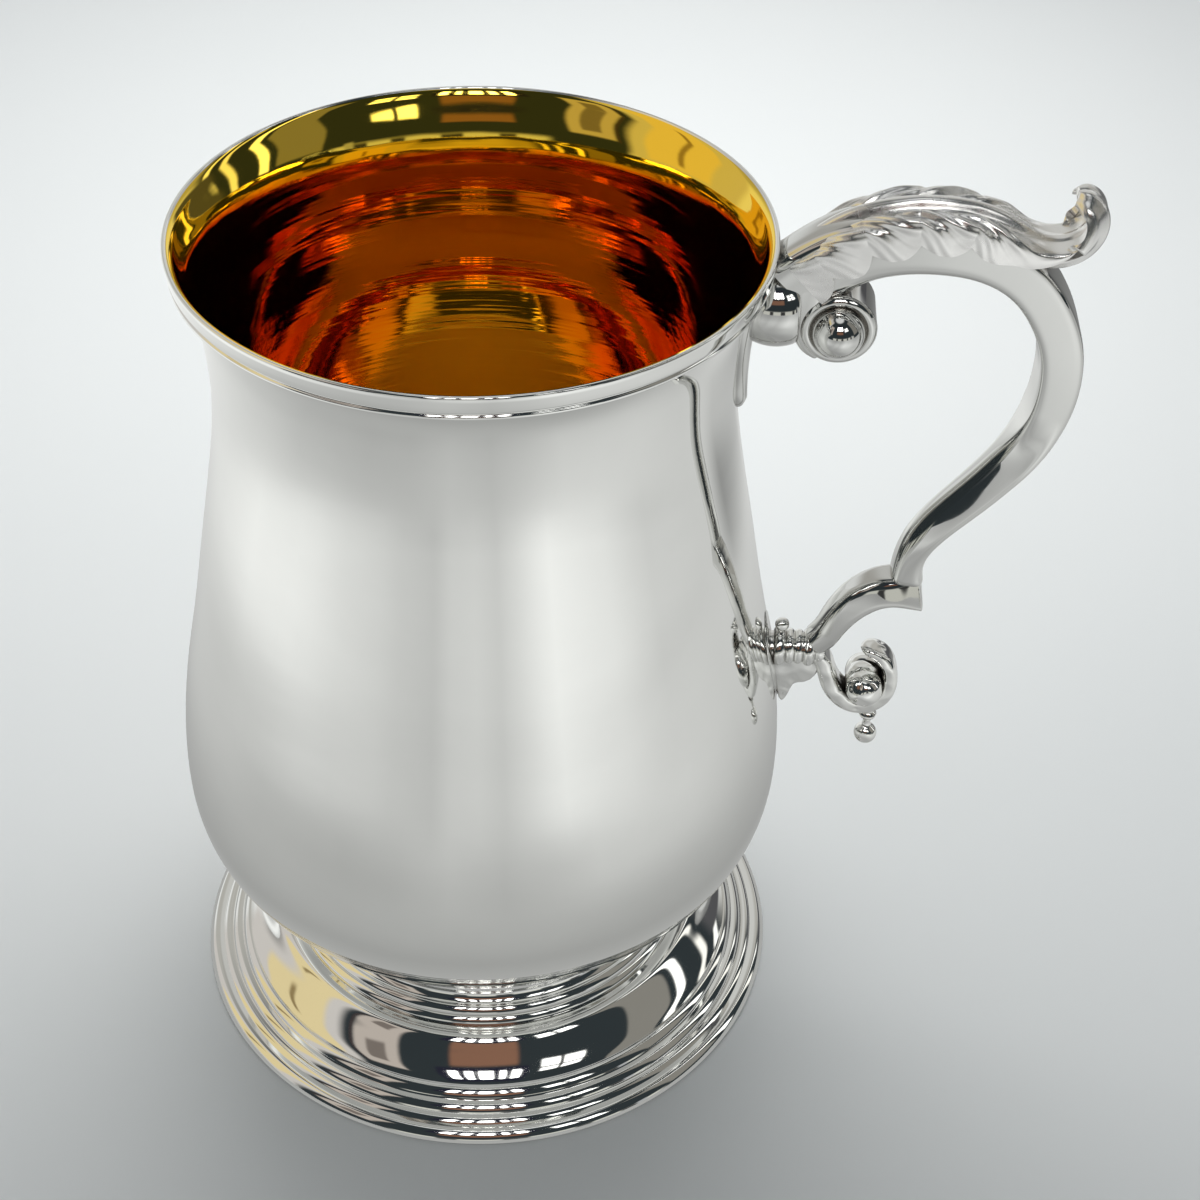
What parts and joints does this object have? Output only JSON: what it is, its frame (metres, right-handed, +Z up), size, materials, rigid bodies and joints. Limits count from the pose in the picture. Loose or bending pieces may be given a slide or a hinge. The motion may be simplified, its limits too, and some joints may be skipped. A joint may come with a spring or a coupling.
{
  "type": "tankard",
  "caption": "Baluster-shaped footed drinking tankard with a gilt interior, a stepped spread foot and a double-scroll handle topped by an acanthus leaf and thumb rest.",
  "frame": {"origin": "centre of the foot on the surface that the tankard stands on", "axes": "+Z up through the cup's axis; the handle lies in the XZ plane on the +X side; +Y is across the handle, to the left of someone holding it and drinking"},
  "size_m": [0.1319, 0.0964, 0.1464],
  "materials": {
    "polished_pewter": "polished",
    "gilt": "polished"
  },
  "bodies": {
    "root": {"vessel_body": "polished_pewter", "gilt_lining": "gilt", "rim_band": "polished_pewter", "foot_collar": "polished_pewter", "foot": "polished_pewter", "foot_base_wire": "polished_pewter", "upper_escutcheon": "polished_pewter", "lower_escutcheon": "polished_pewter", "upper_socket": "polished_pewter", "handle_half_left": "polished_pewter", "handle_half_right": "polished_pewter", "upper_volute": "polished_pewter", "volute_boss_left": "polished_pewter", "volute_boss_right": "polished_pewter", "acanthus_leaf": "polished_pewter", "thumb_scroll": "polished_pewter", "lower_scroll": "polished_pewter", "lower_collar": "polished_pewter", "collar_knob": "polished_pewter", "collar_drop": "polished_pewter", "tail_scroll": "polished_pewter", "tail_boss_left": "polished_pewter", "tail_boss_right": "polished_pewter", "tail_pip": "polished_pewter"}
  },
  "joints": []
}
